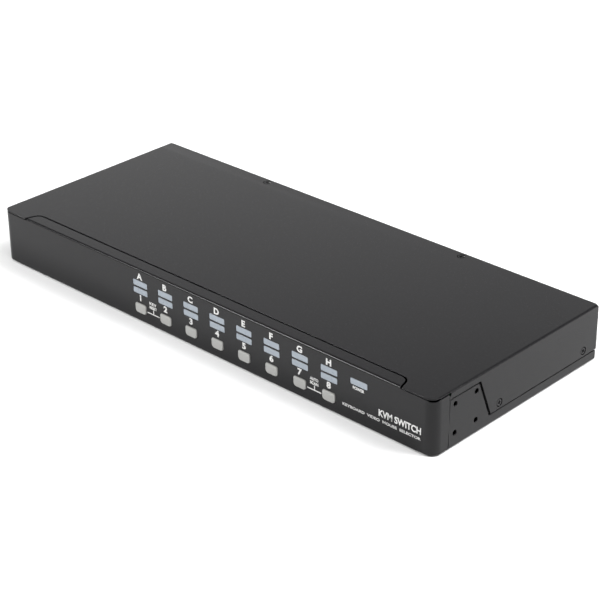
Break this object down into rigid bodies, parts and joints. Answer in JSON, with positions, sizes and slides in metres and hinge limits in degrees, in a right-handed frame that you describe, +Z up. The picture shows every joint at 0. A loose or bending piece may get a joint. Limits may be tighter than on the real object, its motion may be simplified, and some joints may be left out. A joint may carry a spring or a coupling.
{
  "type": "kvm switch",
  "caption": "Rack-height KVM switch: flat black steel case with front push buttons and light windows, and rows of D-sub ports behind.",
  "frame": {"origin": "middle of the whole object, on the surface that it stands on", "axes": "+X to the right seen from the front, +Y to the rear, +Z up"},
  "size_m": [0.44, 0.1852, 0.0436],
  "materials": {
    "black_paint": "fine textured black powder coat",
    "black_screw": "black oxide",
    "zinc_screw": "zinc plated",
    "button_plastic": "light grey moulded plastic, satin",
    "plunger_plastic": "off-white moulded plastic",
    "switch_housing": "black moulded plastic",
    "window_plastic": "milky blue-grey light guide",
    "circuit_board": "green solder mask",
    "flat_cable": "grey ribbed insulation",
    "port_plastic": "blue moulded plastic",
    "white_ink": "screen-printed white ink",
    "port_metal": "nickel plated steel"
  },
  "bodies": {
    "case": {"base_tray": "black_paint", "top_cover": "black_paint", "front_panel": "black_paint", "rear_panel": "black_paint", "side_screw_left_front": "black_screw", "side_screw_left_rear": "black_screw", "side_screw_right_front": "black_screw", "side_screw_right_rear": "black_screw", "top_screw_left": "black_screw", "top_screw_right": "black_screw", "board_screw_left": "zinc_screw", "board_screw_right": "zinc_screw", "switch_body_1": "switch_housing", "switch_body_2": "switch_housing", "switch_body_3": "switch_housing", "switch_body_4": "switch_housing", "switch_body_5": "switch_housing", "switch_body_6": "switch_housing", "switch_body_7": "switch_housing", "switch_body_8": "switch_housing", "port_light_guide_A": "window_plastic", "port_light_guide_B": "window_plastic", "port_light_guide_C": "window_plastic", "port_light_guide_D": "window_plastic", "port_light_guide_E": "window_plastic", "port_light_guide_F": "window_plastic", "port_light_guide_G": "window_plastic", "port_light_guide_H": "window_plastic", "power_light_guide": "window_plastic", "front_board": "circuit_board", "main_board": "circuit_board", "front_flat_cable": "flat_cable", "host_port_stack_1": "port_metal", "host_port_stack_2": "port_metal", "host_port_stack_3": "port_metal", "host_port_stack_4": "port_metal", "host_port_stack_5": "port_metal", "host_port_stack_6": "port_metal", "host_port_stack_7": "port_metal", "host_port_stack_8": "port_metal", "console_video_port": "port_metal", "daisy_chain_port": "port_metal", "console_usb_stack": "port_metal", "power_jack": "switch_housing"},
    "button_1": {"button_1": "button_plastic", "switch_plunger_1": "plunger_plastic"},
    "button_2": {"button_2": "button_plastic", "switch_plunger_2": "plunger_plastic"},
    "button_3": {"button_3": "button_plastic", "switch_plunger_3": "plunger_plastic"},
    "button_4": {"button_4": "button_plastic", "switch_plunger_4": "plunger_plastic"},
    "button_5": {"button_5": "button_plastic", "switch_plunger_5": "plunger_plastic"},
    "button_6": {"button_6": "button_plastic", "switch_plunger_6": "plunger_plastic"},
    "button_7": {"button_7": "button_plastic", "switch_plunger_7": "plunger_plastic"},
    "button_8": {"button_8": "button_plastic", "switch_plunger_8": "plunger_plastic"}
  },
  "joints": [
    {"name": "button_1_press", "type": "slide", "parent": "case", "child": "button_1", "axis": [0, 1, 0], "range_m": [0, 0.0008], "stiffness_N_per_m": 600, "springref_m": -0.0008},
    {"name": "button_2_press", "type": "slide", "parent": "case", "child": "button_2", "axis": [0, 1, 0], "range_m": [0, 0.0008], "stiffness_N_per_m": 600, "springref_m": -0.0008},
    {"name": "button_3_press", "type": "slide", "parent": "case", "child": "button_3", "axis": [0, 1, 0], "range_m": [0, 0.0008], "stiffness_N_per_m": 600, "springref_m": -0.0008},
    {"name": "button_4_press", "type": "slide", "parent": "case", "child": "button_4", "axis": [0, 1, 0], "range_m": [0, 0.0008], "stiffness_N_per_m": 600, "springref_m": -0.0008},
    {"name": "button_5_press", "type": "slide", "parent": "case", "child": "button_5", "axis": [0, 1, 0], "range_m": [0, 0.0008], "stiffness_N_per_m": 600, "springref_m": -0.0008},
    {"name": "button_6_press", "type": "slide", "parent": "case", "child": "button_6", "axis": [0, 1, 0], "range_m": [0, 0.0008], "stiffness_N_per_m": 600, "springref_m": -0.0008},
    {"name": "button_7_press", "type": "slide", "parent": "case", "child": "button_7", "axis": [0, 1, 0], "range_m": [0, 0.0008], "stiffness_N_per_m": 600, "springref_m": -0.0008},
    {"name": "button_8_press", "type": "slide", "parent": "case", "child": "button_8", "axis": [0, 1, 0], "range_m": [0, 0.0008], "stiffness_N_per_m": 600, "springref_m": -0.0008}
  ]
}
